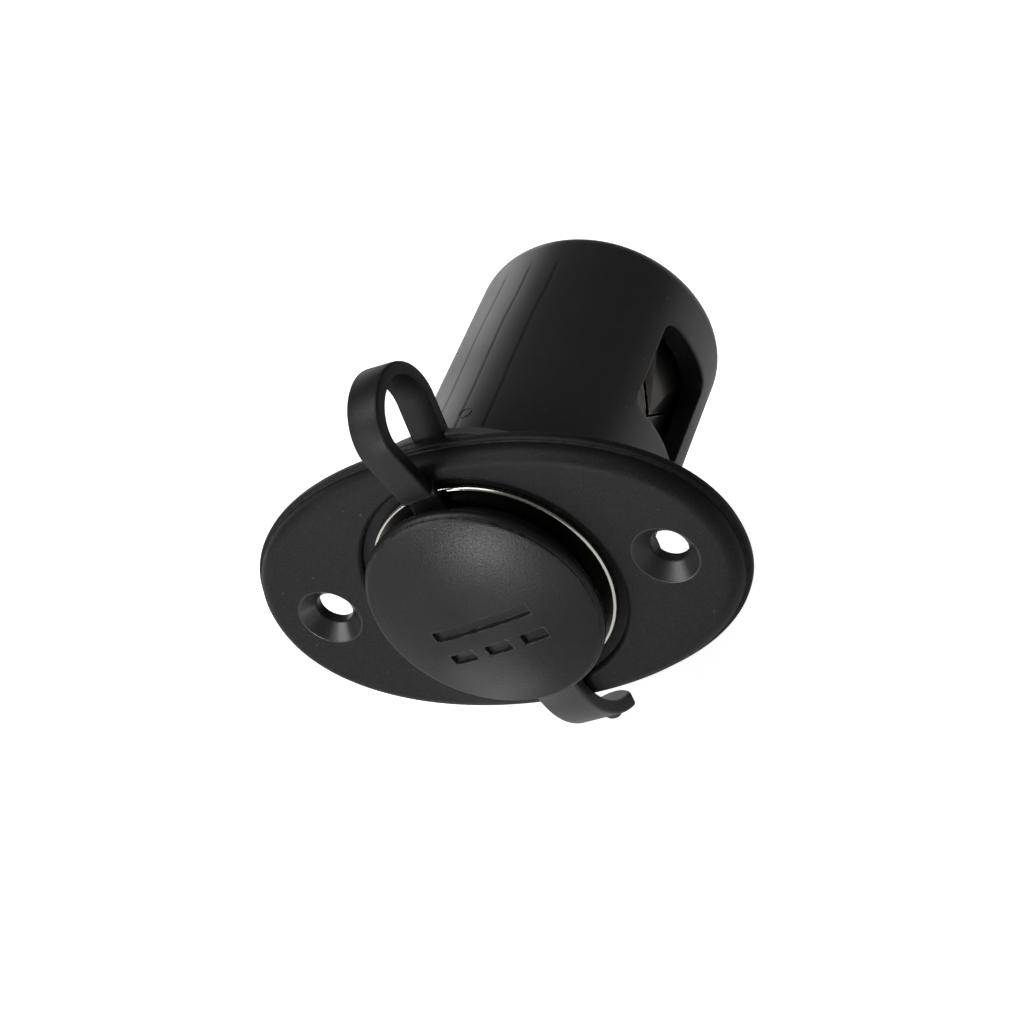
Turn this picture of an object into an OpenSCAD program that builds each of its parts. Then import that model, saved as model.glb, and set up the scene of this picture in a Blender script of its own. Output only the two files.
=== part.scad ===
/* [Mounting plate] */
// Length of the oval plate
plate_l = 59.2; // [56:0.2:80]
// Width of the plate beyond the recess, above and below it
plate_margin = 3.35; // [2.4:0.05:8]
// Thickness of the plate, from the panel to its front face
plate_t = 3; // [2.4:0.1:5]
// Thickness of the thin rim that lies on the panel
rim_t = 1; // [0.6:0.1:1.4]
// How far the rim stands out past the rounded body of the plate
rim_step = 0.55; // [0.3:0.05:1]
// Radius of the rounded shoulder round the front face
shoulder_r = 1.7; // [0.8:0.1:2]
// Roundness of the oval: 2 is an ellipse, more is squarer
oval_power = 2.12; // [2:0.02:2.4]

/* [Screw holes] */
// Flat land between the recess and a countersink
screw_land = 2.55; // [1.2:0.05:6]
// Diameter of the screw holes
screw_d = 4.2; // [3.2:0.1:5]
// Diameter of the countersinks at the front face
head_d = 7.4; // [6.4:0.1:8.2]

/* [Recess for the contact ring] */
// Width of the groove between the contact ring and the recess's wall
recess_gap = 1.18; // [0.5:0.02:2.5]
// Depth of the recess below the front face
recess_depth = 1; // [0.6:0.05:1.4]
// Radius of its rounded edge
recess_edge_r = 0.6; // [0.2:0.1:1]

/* [Barrel] */
// Space between the socket shell and the barrel's wall
barrel_gap = 0.3; // [0.2:0.1:2]
// Space between the shell's bottom and the rear wall
rear_space = 4; // [3.2:0.1:10]
// Thickness of the barrel's wall
barrel_wall = 2.7; // [1.6:0.1:3.2]
// Thickness of the rear wall
rear_wall = 2.2; // [1.6:0.1:3]
// Radius of the rounded rear edge
rear_edge_r = 3; // [1:0.1:3.6]
// Clearance round the terminals in the rear wall's opening
rear_hole_gap = 0.8; // [0.4:0.1:1.6]

/* [Side windows] */
// Width of a window
window_w = 9.7; // [8:0.1:11]
// Length of a window along the barrel
window_l = 15.4; // [13:0.1:17]
// Radius of a window's corners
window_r = 1.75; // [0.8:0.05:2.5]

/* [Socket shell] */
// Diameter of the bore that takes the plug
bore_d = 21.4; // [20:0.05:24]
// Thickness of the sheet
sheet_t = 0.8; // [0.6:0.05:0.9]
// Depth of the bore from the contact ring to the bottom
bore_depth = 39; // [36:0.1:46]
// Width of the contact ring beyond the shell
ring_w = 2.32; // [1.6:0.02:3]
// Width of the flat snap tabs lanced from the shell's wall
tab_w = 6; // [4:0.1:7]
// Length of a snap tab, from its root to its point
tab_l = 9.6; // [8:0.1:11]
// Length of the point at its free end
tab_point = 4.3; // [2:0.1:5]
// Distance from the shell's bottom to the root of a snap tab
tab_foot = 3.1; // [2:0.1:5]
// How far the tab's point springs out
tab_out = 0.4; // [0.1:0.1:1.2]
// Distance from the front edge of a window to the point of the tab
tab_gap = 4.6; // [2:0.1:6]

/* [Contacts] */
// Thickness of an insulating washer
insulator_t = 1.2; // [0.8:0.1:1.6]
// Diameter of the insulating collar through the shell's bottom
collar_d = 6; // [5:0.1:7]
// Diameter of the centre contact's head
button_d = 6.4; // [5:0.1:8]
// Height of the centre contact's head
button_h = 1.8; // [1:0.1:2.4]
// Diameter of the centre contact's shank
shank_d = 3; // [2.4:0.1:3.4]
// Width of the flat plug terminals
blade_w = 6.3; // [4.8:0.1:6.6]
// Thickness of the terminals
blade_t = 0.8; // [0.5:0.1:1]
// Length of the terminals behind their feet
blade_l = 7.6; // [6:0.1:8]
// Clearance between the earth rivet's head and the shell's wall
rivet_gap = 0.4; // [0.2:0.1:0.8]
// Diameter of the earth rivet
rivet_d = 2.2; // [1.8:0.1:2.4]
// Thickness of the rivets' heads
rivet_head_t = 0.7; // [0.5:0.1:1]

/* [Dust cap] */
// How far the cap's rim stays inside the contact ring's edge
cap_inset = 0.32; // [0:0.02:1]
// Height of the rim above the front face
cap_rim_z = 3.85; // [3.2:0.05:4.6]
// Height of the rim's rounded band
cap_band_h = 1.5; // [1:0.1:1.8]
// Rise of the domed crown
crown_h = 1.6; // [1:0.1:3]
// How far the neck under the rim is set in
neck_inset = 1.8; // [1.4:0.1:2.4]
// Clearance between the neck and the contact ring
seat_gap = 0.3; // [0.2:0.05:0.5]
// Clearance round the cap's plug in the bore
plug_gap = 0.4; // [0.3:0.05:0.6]
// Length of the cap's plug below the front face
plug_l = 5; // [3:0.1:6]
// Wall of the hollow plug
plug_wall = 1.6; // [1:0.1:2.2]
// Angle by which the cap is turned on its axis
cap_turn = 8; // [0:0.5:10]

/* [Pull tab] */
// Width of the pull tab, which ends in a half circle
pull_w = 5.6; // [4:0.1:6.4]
// Thickness of the pull tab
pull_t = 1.6; // [1:0.1:1.8]
// Clearance between the tab's root and the plate's front face
pull_gap = 0.3; // [0.2:0.05:0.8]
// How far inside the plate's edge the tab starts to bend
pull_reach = 2.85; // [2.4:0.05:3.2]
// Angle by which the tab bends back past the plate
pull_bend = 53; // [40:1:60]
// Inner radius of that bend
pull_bend_r = 5.2; // [5:0.1:7]
// Length of the straight part behind the bend
pull_drop = 5.7; // [4:0.1:7]

/* [Tether] */
// Width of the strap
strap_w = 4; // [3:0.1:5]
// Thickness of the strap
strap_t = 1.6; // [1:0.1:1.8]
// Angle on the cap's face between the plate's short axis and the strap's root
strap_turn = 5.5; // [0:0.5:7]
// Angle at which the strap rises from the cap
strap_rise = 18; // [10:1:24]
// How far the loop's circle stays outside the plate's edge
loop_gap = 0.3; // [0.1:0.1:3]
// Radius of the strap's loop
loop_r = 5; // [4.5:0.1:6]
// How far the strap's root hangs below the cap's rim
strap_drop = 1.3; // [0.8:0.05:1.35]
// Length of the ear on the tether ring that carries the strap
ear_l = 0.3; // [0.1:0.1:0.6]
// How far the tether ring's edge stays inside the plate's edge
tether_inset = 0; // [0:0.1:1]
// Thickness of the tether ring
tether_t = 1.1; // [0.8:0.1:2]
// Space between the plate and the tether ring
tether_space = 0.9; // [0.4:0.1:0.9]
// Clearance of the tether ring on the barrel
tether_fit = 0.05; // [0.02:0.01:0.1]

/* [Hidden] */

$fn = 96;
// A cut runs this far past the face that it opens
past = 1;
// Clearance of the parts that only sit in each other
slip = 0.2;
// Distance kept between the moving cap's strap and what it meets
strap_gap = 0.15;
// Points on a quarter of the oval outline
oval_steps = 20;
// Layers in the plate's rounded shoulder
shoulder_steps = 6;
// Points along the strap's loop, and on each of the pull tab's arcs
loop_steps = 32;
tab_steps = 10;

// Radii from the axis outwards
bore_r = bore_d / 2;
shell_r = bore_r + sheet_t;
housing_bore_r = shell_r + slip;
barrel_in = shell_r + barrel_gap;
barrel_r = barrel_in + barrel_wall;
ring_r = shell_r + ring_w;
recess_r = ring_r + recess_gap;
screw_spacing = 2 * (recess_r + screw_land) + head_d;
plate_w = 2 * (recess_r + plate_margin);
rivet_head_r = rivet_d * 0.725;
rivet_offset = bore_r - rivet_gap - rivet_head_r;
insulator_r = rivet_offset - rivet_head_r - blade_t - 1.5 * slip;
// The plate's front face and the level of the contact ring's seat, from the plate's back
seat_z = plate_t - recess_depth;
ring_z = seat_z + sheet_t;
floor_z = ring_z - bore_depth;
under_z = floor_z - sheet_t;
terminal_z = under_z - insulator_t;
barrel_l = rear_space + rear_wall - under_z;
rear_hole_r = norm([insulator_r + slip + blade_t, blade_w / 2]) + rear_hole_gap;
// A snap tab's free end lies just behind the front edge of its window
tab_end_z = floor_z + tab_foot + tab_l;
window_start = -tab_end_z - tab_gap;
plug_r = bore_r - plug_gap;
cap_r = ring_r - cap_inset;
neck_r = cap_r - neck_inset;
rim_z = plate_t + cap_rim_z;
neck_z = ring_z + seat_gap;
pull_z = plate_t + pull_gap;
strap_z = rim_z - cap_band_h - strap_drop;
strap_from = [-cap_r * sin(strap_turn), cap_r + strap_gap + strap_t / 2 * sin(strap_rise), strap_z];
tether_r = plate_w / 2 - tether_inset;
ear_end = tether_r + ear_l;
strap_to = [0, ear_end + strap_t / 4 + strap_gap, -tether_space - tether_t / 2];
// The strap's loop: its start, its centre and the tangent that leads back to the ring
strap_out = (plate_w / 2 + loop_gap + loop_r - loop_r * sin(strap_rise) - strap_from[1]) / cos(strap_rise);
loop_from = [strap_from[1] + strap_out * cos(strap_rise), strap_z + strap_out * sin(strap_rise)];
loop_mid = loop_from + loop_r * [sin(strap_rise), -cos(strap_rise)];
back = [strap_to[1], strap_to[2]] - loop_mid;
back_l = sqrt(norm(back) * norm(back) - loop_r * loop_r);
loop_end = atan2(back[1], back[0]) + acos(loop_r / norm(back));
loop_arc = 90 + strap_rise - loop_end;

// Draws its children, made with the front face upwards, with that face towards -Y
module facing_front() {
    rotate([90, 0, 0]) children();
}

// Points of the oval outline with the given half axes
function oval(a, b) = [for (i = [0 : 4 * oval_steps - 1])
    let (t = 90 * i / oval_steps, c = cos(t), s = sin(t), p = 2 / oval_power)
    [a * sign(c) * pow(abs(c), p), b * sign(s) * pow(abs(s), p)]];

// Solid through ovals that are set in from the plate's outline: each step is [inset, height]
module oval_loft(steps) {
    n = 4 * oval_steps;
    last = len(steps) - 1;
    polyhedron(
        points = [for (k = steps) each [for (p = oval(plate_l / 2 - k[0], plate_w / 2 - k[0]))
            [p[0], p[1], k[1]]]],
        faces = concat(
            [[for (i = [0 : n - 1]) i]],
            [for (k = [0 : last - 1], i = [0 : n - 1])
                let (j = (i + 1) % n)
                each [[k * n + i, (k + 1) * n + i, (k + 1) * n + j],
                    [k * n + i, (k + 1) * n + j, k * n + j]]],
            [[for (i = [n - 1 : -1 : 0]) last * n + i]]));
}

// Rectangle with true arcs at its corners
module rounded_rectangle(l, w, r) {
    square([l - 2 * r, w], center = true);
    square([l, w - 2 * r], center = true);
    for (x = [-1, 1], y = [-1, 1])
        translate([x * (l / 2 - r), y * (w / 2 - r)]) circle(r, $fn = 32);
}

// The oval plate: a thin rim, then a body with a rounded shoulder
module plate() {
    rim_edge = rim_t / 4;
    oval_loft(concat(
        [[0, 0], [0, rim_t - rim_edge], [rim_edge, rim_t], [rim_step, rim_t]],
        [for (i = [0 : shoulder_steps])
            let (t = 90 * i / shoulder_steps)
            [rim_step + shoulder_r * (1 - cos(t)), plate_t - shoulder_r * (1 - sin(t))]]));
}

// Section of the barrel, from the plate to its rear wall with the rounded edge
module barrel_section() {
    difference() {
        union() {
            translate([0, -barrel_l + rear_edge_r])
                square([barrel_r, barrel_l - rear_edge_r]);
            translate([0, -barrel_l]) square([barrel_r - rear_edge_r, barrel_l]);
            translate([barrel_r - rear_edge_r, -barrel_l + rear_edge_r]) circle(rear_edge_r, $fn = 48);
        }
        translate([-past, -barrel_l + rear_wall])
            square([barrel_in + past, barrel_l - rear_wall]);
        translate([-past, -barrel_l - past]) square([rear_hole_r + past, rear_wall + 2 * past]);
        translate([-barrel_r, -barrel_l - past]) square([barrel_r, barrel_l + 2 * past]);
    }
}

// Cutter for the recess, with its rounded front edge
module recess_cut() {
    rotate_extrude() {
        translate([0, seat_z]) square([recess_r, recess_depth + past]);
        translate([0, plate_t - recess_edge_r])
            difference() {
                square([recess_r + recess_edge_r, recess_edge_r + past]);
                translate([recess_r + recess_edge_r, 0]) circle(recess_edge_r, $fn = 32);
            }
    }
}

// Plate and barrel, moulded in one piece with two side windows
module housing() {
    color([0.09, 0.09, 0.1])
        facing_front() difference() {
            union() {
                plate();
                rotate_extrude() barrel_section();
            }
            translate([0, 0, -past]) cylinder(r = housing_bore_r, h = plate_t + 2 * past);
            recess_cut();
            for (side = [-1, 1]) translate([side * screw_spacing / 2, 0, 0]) {
                translate([0, 0, -past]) cylinder(d = screw_d, h = plate_t + 2 * past, $fn = 48);
                translate([0, 0, plate_t - (head_d - screw_d) / 2])
                    cylinder(d1 = screw_d, d2 = head_d + 2 * past, h = (head_d - screw_d) / 2 + past, $fn = 48);
            }
            for (side = [-1, 1])
                translate([side * barrel_r, 0, -window_start - window_l / 2])
                    rotate([0, 90, 0])
                        linear_extrude(2 * (barrel_r - barrel_in + past), center = true)
                            rounded_rectangle(window_l, window_w, window_r);
        }
}

// Outline of a pointed tongue, grown by a gap: y across it, z from its root
function tongue(grow) = let (w = tab_w / 2 + grow, foot = grow == 0 ? -sheet_t / 2 : 0)
    [[-w, foot], [w, foot], [w, tab_l - tab_point + grow / 2], [0, tab_l + grow * 1.5],
        [-w, tab_l - tab_point + grow / 2]];

// A flat tongue lanced from the shell's wall, whose point springs out into the window
module snap_tab() {
    translate([shell_r - sheet_t, 0, tab_end_z - tab_l])
        rotate([0, asin(tab_out / tab_l), 0])
            rotate([90, 0, 90]) linear_extrude(sheet_t) polygon(tongue(0));
}

// Drawn cup with a flat contact ring, two snap tabs and holes in its bottom
module socket_shell() {
    roll_r = sheet_t / 2;
    slot = sheet_t / 2;
    color([0.78, 0.79, 0.8])
        facing_front() {
            difference() {
                rotate_extrude() {
                    translate([bore_r, under_z]) square([sheet_t, ring_z - under_z]);
                    translate([0, under_z]) square([shell_r, sheet_t]);
                    translate([bore_r, seat_z]) square([ring_r - roll_r - bore_r, sheet_t]);
                    translate([ring_r - roll_r, seat_z + roll_r]) circle(roll_r, $fn = 24);
                }
                translate([0, 0, under_z - past]) cylinder(d = collar_d + slip, h = sheet_t + 2 * past, $fn = 48);
                translate([0, rivet_offset, under_z - past])
                    cylinder(d = rivet_d, h = sheet_t + 2 * past, $fn = 32);
                for (side = [0, 180]) rotate(side)
                    translate([bore_r - 2 * past, 0, tab_end_z - tab_l])
                        rotate([90, 0, 90]) linear_extrude(sheet_t + 4 * past) polygon(tongue(slot));
            }
            for (side = [0, 180]) rotate(side) snap_tab();
        }
}

// Hard washer with a collar through the shell's bottom, under the centre contact
module inner_insulator() {
    color([0.45, 0.27, 0.16])
        facing_front() difference() {
            union() {
                translate([0, 0, floor_z]) cylinder(r = insulator_r, h = insulator_t);
                translate([0, 0, under_z]) cylinder(d = collar_d, h = floor_z - under_z, $fn = 48);
            }
            translate([0, 0, under_z - past])
                cylinder(d = shank_d + slip, h = insulator_t + sheet_t + 2 * past, $fn = 32);
        }
}

// Flat washer between the shell's bottom and the positive terminal
module outer_insulator() {
    color([0.42, 0.25, 0.15])
        facing_front() difference() {
            translate([0, 0, terminal_z]) cylinder(r = insulator_r, h = insulator_t);
            translate([0, 0, terminal_z - past])
                cylinder(d = shank_d + slip, h = insulator_t + 2 * past, $fn = 32);
        }
}

// Centre contact: domed head in the bore, shank through the stack, rivet head behind
module contact_button() {
    head_z = floor_z + insulator_t;
    tail_z = terminal_z - 2 * blade_t;
    color([0.8, 0.72, 0.5])
        facing_front() rotate_extrude() {
            translate([0, tail_z]) square([shank_d / 2, head_z - tail_z]);
            translate([0, head_z]) square([button_d / 2, button_h / 2]);
            translate([0, head_z + button_h / 2]) square([button_d / 2 - button_h / 2, button_h / 2]);
            translate([button_d / 2 - button_h / 2, head_z + button_h / 2])
                intersection() {
                    circle(button_h / 2, $fn = 32);
                    square(button_h);
                }
            translate([0, tail_z - rivet_head_t]) square([shank_d * 0.8, rivet_head_t]);
        }
}

// Spring washer under the tail of the centre contact
module contact_washer() {
    color([0.7, 0.71, 0.72])
        facing_front() difference() {
            translate([0, 0, terminal_z - 2 * blade_t]) cylinder(d = blade_w - slip, h = blade_t, $fn = 48);
            translate([0, 0, terminal_z - 2 * blade_t - past])
                cylinder(d = shank_d + slip, h = blade_t + 2 * past, $fn = 32);
        }
}

// Flat blade that points rearwards from z, with chamfered corners and a latch hole
module blade(z) {
    corner = blade_w / 6;
    rotate([90, 0, 0])
        linear_extrude(blade_t, center = true)
            difference() {
                polygon([[-blade_w / 2, z], [blade_w / 2, z], [blade_w / 2, z - blade_l + corner],
                    [blade_w / 2 - corner, z - blade_l], [corner - blade_w / 2, z - blade_l],
                    [-blade_w / 2, z - blade_l + corner]]);
                translate([0, z - 0.6 * blade_l]) circle(blade_w / 7, $fn = 24);
            }
}

// L-shaped terminal under the centre contact's rivet
module positive_terminal() {
    blade_y = insulator_r - blade_t - slip;
    color([0.8, 0.68, 0.4])
        facing_front() {
            difference() {
                translate([-blade_w / 2, -blade_y - blade_t / 2, terminal_z - blade_t])
                    cube([blade_w, blade_y + blade_t / 2, blade_t]);
                translate([0, 0, terminal_z - blade_t - past])
                    cylinder(d = shank_d + slip, h = blade_t + 2 * past, $fn = 32);
            }
            difference() {
                translate([0, 0, terminal_z - blade_t]) cylinder(d = blade_w, h = blade_t, $fn = 48);
                translate([0, 0, terminal_z - blade_t - past])
                    cylinder(d = shank_d + slip, h = blade_t + 2 * past, $fn = 32);
            }
            translate([0, -blade_y, 0]) blade(terminal_z - blade_t);
        }
}

// L-shaped terminal riveted to the shell's bottom
module negative_terminal() {
    near = insulator_r + slip;
    far = rivet_offset + rivet_head_r;
    color([0.76, 0.77, 0.78])
        facing_front() {
            difference() {
                translate([-blade_w / 2, near, under_z - blade_t]) cube([blade_w, far - near, blade_t]);
                translate([0, rivet_offset, under_z - blade_t - past])
                    cylinder(d = rivet_d, h = blade_t + 2 * past, $fn = 32);
            }
            translate([0, near + blade_t / 2, 0]) blade(under_z - blade_t);
        }
}

// Rivet that holds the earth terminal to the shell
module negative_rivet() {
    color([0.72, 0.73, 0.74])
        facing_front() translate([0, rivet_offset, 0]) {
            translate([0, 0, under_z - blade_t - rivet_head_t])
                cylinder(d = rivet_d, h = sheet_t + blade_t + 2 * rivet_head_t, $fn = 32);
            translate([0, 0, under_z - blade_t - rivet_head_t])
                cylinder(r = rivet_head_r, h = rivet_head_t, $fn = 32);
            translate([0, 0, floor_z]) cylinder(r = rivet_head_r, h = rivet_head_t, $fn = 32);
        }
}

// Points on an arc about c, from one angle to another
function arc(c, r, from, to, n) = [for (i = [0 : n])
    let (t = from + (to - from) * i / n) c + r * [cos(t), sin(t)]];

// Pull tab: a strip that leaves the rim flat, then bends back past the plate's edge
module pull_tab() {
    bend_mid = [plate_w / 2 - pull_reach, pull_z - pull_bend_r];
    mid_r = pull_bend_r + pull_t / 2;
    along = [cos(pull_bend), -sin(pull_bend)];
    across = [sin(pull_bend), cos(pull_bend)];
    tip = bend_mid + mid_r * across + pull_drop * along;
    ridge = bend_mid + (mid_r + pull_t / 2) * across + (pull_drop - pull_t) * along;
    end_r = 0.55 * pull_w;
    intersection() {
        // The outline lies in the plane of the tab, with x outwards and y to the front
        rotate([90, 0, 0]) linear_extrude(pull_w, center = true) polygon(concat(
            [[neck_r - pull_t, pull_z], [neck_r - pull_t, pull_z + pull_t]],
            arc(bend_mid, pull_bend_r + pull_t, 90, 90 - pull_bend, tab_steps),
            arc(ridge, pull_t / 4, 180 - pull_bend, -pull_bend, 6),
            arc(tip, pull_t / 2, 90 - pull_bend, -90 - pull_bend, tab_steps),
            arc(bend_mid, pull_bend_r, 90 - pull_bend, 90, tab_steps)));
        // Rounds the end: a half circle seen across the straight part
        translate([tip[0], 0, tip[1]]) rotate([0, pull_bend, 0]) {
            translate([pull_t / 2 - end_r, 0, 0]) cylinder(r = end_r, h = 6 * pull_t, center = true);
            translate([pull_t / 2 - end_r - plate_w, -pull_w, -plate_w])
                cube([plate_w, 2 * pull_w, 2 * plate_w]);
        }
    }
}

// Domed cap with a rounded rim, a neck, a hollow plug and the pull tab
module dust_cap() {
    crown_r = (cap_r * cap_r + crown_h * crown_h) / (2 * crown_h);
    band_r = cap_band_h / 2;
    plug_z = ring_z - plug_l;
    under_rim = rim_z - cap_band_h;
    chamfer = plug_wall / 2;
    color([0.13, 0.13, 0.14])
        facing_front() rotate(cap_turn) {
            rotate_extrude() {
                intersection() {
                    translate([0, rim_z + crown_h - crown_r]) circle(crown_r, $fn = 360);
                    translate([0, rim_z - band_r]) square([cap_r - band_r / 2, crown_h + cap_band_h]);
                }
                translate([cap_r - band_r, rim_z - band_r]) circle(band_r, $fn = 32);
                translate([0, under_rim]) square([cap_r - band_r, cap_band_h]);
                polygon([[0, under_rim + band_r], [neck_r, under_rim + band_r],
                    [neck_r, neck_z], [plug_r, neck_z], [plug_r, plug_z + chamfer],
                    [plug_r - chamfer, plug_z], [plug_r - plug_wall, plug_z],
                    [plug_r - plug_wall, under_rim], [0, under_rim]]);
            }
            rotate(-90) pull_tab();
            // Root of the strap under the rim
            rotate(strap_turn - cap_turn) translate([-strap_w / 2, neck_r - strap_t, strap_z - strap_t / 2])
                cube([strap_w, cap_r - neck_r + strap_t, strap_t]);
        }
}

// The strap's centre line: for a distance s, [height above the axis, z, direction]
function strap_line(s) =
    let (arc_l = loop_r * loop_arc * PI / 180, t = 90 + strap_rise - (s - strap_out) / loop_r * 180 / PI)
    s <= strap_out
        ? [strap_from[1] + s * cos(strap_rise), strap_z + s * sin(strap_rise), strap_rise]
    : s <= strap_out + arc_l
        ? [loop_mid[0] + loop_r * cos(t), loop_mid[1] + loop_r * sin(t), t - 90]
    : let (r = s - strap_out - arc_l, d = loop_end - 90)
        [loop_mid[0] + loop_r * cos(loop_end) + r * cos(d),
            loop_mid[1] + loop_r * sin(loop_end) + r * sin(d), d];

// Section of the strap, with its corners cut: [along the width, through the thickness]
strap_section = let (w = strap_w / 2, t = strap_t / 2, c = strap_t / 5)
    [[w, t - c], [w - c, t], [c - w, t], [-w, t - c], [-w, c - t], [c - w, -t], [w - c, -t], [w, c - t]];

// Flexible strap that loops from the cap round the plate's edge to the tether ring
module tether_strap() {
    strap_l = strap_out + loop_r * loop_arc * PI / 180 + back_l;
    stations = concat([0], [for (i = [0 : loop_steps])
        strap_out + (strap_l - back_l - strap_out) * i / loop_steps], [strap_l]);
    n = len(strap_section);
    last = len(stations) - 1;
    color([0.13, 0.13, 0.14])
        facing_front() polyhedron(
            points = [for (s = stations)
                let (p = strap_line(s), x = strap_from[0] * (1 - s / strap_l) + strap_to[0] * s / strap_l)
                each [for (q = strap_section)
                    [x + q[0], p[0] - q[1] * sin(p[2]), p[1] + q[1] * cos(p[2])]]],
            faces = concat(
                [[for (i = [n - 1 : -1 : 0]) i]],
                [for (k = [0 : last - 1], i = [0 : n - 1])
                    let (j = (i + 1) % n)
                    each [[k * n + i, (k + 1) * n + j, (k + 1) * n + i],
                        [k * n + i, k * n + j, (k + 1) * n + j]]],
                [[for (i = [0 : n - 1]) last * n + i]]));
}

// Flat ring that ties the strap to the barrel behind the plate
module tether_ring() {
    color([0.13, 0.13, 0.14])
        facing_front() translate([0, 0, -tether_space - tether_t]) difference() {
            union() {
                cylinder(r = tether_r, h = tether_t);
                translate([-strap_w / 2, tether_r - strap_t, 0])
                    cube([strap_w, ear_end - tether_r + strap_t, tether_t]);
            }
            translate([0, 0, -past]) cylinder(r = barrel_r + tether_fit, h = tether_t + 2 * past);
        }
}

housing();
socket_shell();
inner_insulator();
outer_insulator();
contact_button();
contact_washer();
positive_terminal();
negative_terminal();
negative_rivet();
dust_cap();
tether_strap();
tether_ring();
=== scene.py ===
import math

import bmesh
import bpy
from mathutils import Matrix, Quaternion, Vector


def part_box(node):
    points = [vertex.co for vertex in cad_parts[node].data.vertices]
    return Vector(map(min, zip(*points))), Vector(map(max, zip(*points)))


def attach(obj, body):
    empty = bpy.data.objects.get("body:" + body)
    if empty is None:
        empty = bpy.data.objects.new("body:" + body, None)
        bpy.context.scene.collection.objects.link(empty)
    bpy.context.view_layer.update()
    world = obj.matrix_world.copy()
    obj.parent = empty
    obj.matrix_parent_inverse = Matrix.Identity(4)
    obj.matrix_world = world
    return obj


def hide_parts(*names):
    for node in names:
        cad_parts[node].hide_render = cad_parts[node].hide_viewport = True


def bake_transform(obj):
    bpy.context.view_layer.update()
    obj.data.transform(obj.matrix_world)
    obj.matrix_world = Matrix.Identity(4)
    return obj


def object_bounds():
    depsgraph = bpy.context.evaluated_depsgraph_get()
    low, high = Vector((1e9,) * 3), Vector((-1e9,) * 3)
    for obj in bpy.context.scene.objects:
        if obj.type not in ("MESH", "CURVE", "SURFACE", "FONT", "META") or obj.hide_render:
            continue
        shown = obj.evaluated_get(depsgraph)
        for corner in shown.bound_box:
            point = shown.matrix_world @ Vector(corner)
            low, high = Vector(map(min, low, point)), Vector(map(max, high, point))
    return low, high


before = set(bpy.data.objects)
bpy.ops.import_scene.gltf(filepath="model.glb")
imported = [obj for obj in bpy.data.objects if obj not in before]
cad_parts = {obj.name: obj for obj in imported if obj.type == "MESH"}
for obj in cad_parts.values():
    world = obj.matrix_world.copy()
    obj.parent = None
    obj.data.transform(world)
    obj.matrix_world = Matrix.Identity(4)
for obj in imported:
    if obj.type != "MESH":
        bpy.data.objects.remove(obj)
cad_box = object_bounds()

# Camera, floor and lamps: a long lens looks down on the plate's front over a plain white floor.
# Large soft lamps stand above, in front and behind; two small ones close to the cap give its face
# the soft highlights. The room and floor look white, but light the black plastic only weakly.
MM = 0.001
LENS_MM = 111.63
SENSOR_MM = 36
NEAR_CLIP = 0.01
camera_place = Vector((171.22, -240.93, 178.65)) * MM
camera_forward = Vector((-0.48975, 0.71036, -0.5055))
camera_roll = math.radians(-30.35)

camera_data = bpy.data.cameras.new("photo_camera")
camera_data.lens = LENS_MM
camera_data.sensor_width = SENSOR_MM
camera_data.clip_start = NEAR_CLIP
camera = bpy.data.objects.new("photo_camera", camera_data)
camera.location = camera_place
turn = camera_forward.to_track_quat("-Z", "Y") @ Quaternion((0, 0, 1), camera_roll)
camera.rotation_euler = turn.to_euler()
bpy.context.scene.collection.objects.link(camera)
bpy.context.scene.camera = camera
bpy.context.scene.view_settings.view_transform = "Standard"


def node(tree, kind, inputs=None, **settings):
    """Adds a shader or geometry node, sets its properties and the inputs given by name or number."""
    made = tree.nodes.new(kind)
    for name, value in settings.items():
        setattr(made, name, value)
    for name, value in (inputs or {}).items():
        if isinstance(value, bpy.types.NodeSocket):
            tree.links.new(value, made.inputs[name])
        else:
            made.inputs[name].default_value = value
    return made


def new_material(name):
    """An empty material with its output node."""
    material = bpy.data.materials.new(name)
    material.use_nodes = True
    material.node_tree.nodes.clear()
    return material, material.node_tree


FLOOR_DROP = 3 * MM
FLOOR_SIZE = 6.0
FLOOR_GREY = 0.86
FLOOR_GLOW = 0.85
MIRROR_GLOW = 0.1
ROOM_GLOW = 0.13

floor_material, tree = new_material("studio_floor")
path = node(tree, "ShaderNodeLightPath")
mirrored = node(tree, "ShaderNodeMath", {0: path.outputs["Is Glossy Ray"],
                                         1: path.outputs["Is Transmission Ray"]}, operation="MAXIMUM")
mirrored = node(tree, "ShaderNodeMath", {0: mirrored.outputs[0], 1: MIRROR_GLOW}, operation="MULTIPLY")
glow = node(tree, "ShaderNodeMath", {0: path.outputs["Is Camera Ray"], 1: FLOOR_GLOW, 2: mirrored.outputs[0]},
            operation="MULTIPLY_ADD")
shader = node(tree, "ShaderNodeBsdfPrincipled", {
    "Base Color": (FLOOR_GREY, FLOOR_GREY, FLOOR_GREY, 1), "Roughness": 0.9,
    "Specular IOR Level": 0.1, "Emission Color": (1, 1, 1, 1), "Emission Strength": glow.outputs[0]})
node(tree, "ShaderNodeOutputMaterial", {"Surface": shader.outputs[0]})

floor_mesh = bpy.data.meshes.new("studio_floor")
floor_z = cad_box[0][2] - FLOOR_DROP
half = FLOOR_SIZE / 2
floor_mesh.from_pydata([(-half, -half, floor_z), (half, -half, floor_z), (half, half, floor_z),
                        (-half, half, floor_z)], [], [(0, 1, 2, 3)])
floor_mesh.materials.append(floor_material)
floor = bpy.data.objects.new("studio_floor", floor_mesh)
bpy.context.scene.collection.objects.link(floor)


def soft_lamp(name, place, size, watts):
    """A square softbox that points at the socket."""
    data = bpy.data.lights.new(name, "AREA")
    data.shape = "SQUARE"
    data.size = size
    data.energy = watts
    lamp = bpy.data.objects.new(name, data)
    lamp.location = place
    lamp.rotation_euler = (-Vector(place)).to_track_quat("-Z", "Y").to_euler()
    bpy.context.scene.collection.objects.link(lamp)
    lamp.visible_camera = False


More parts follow.
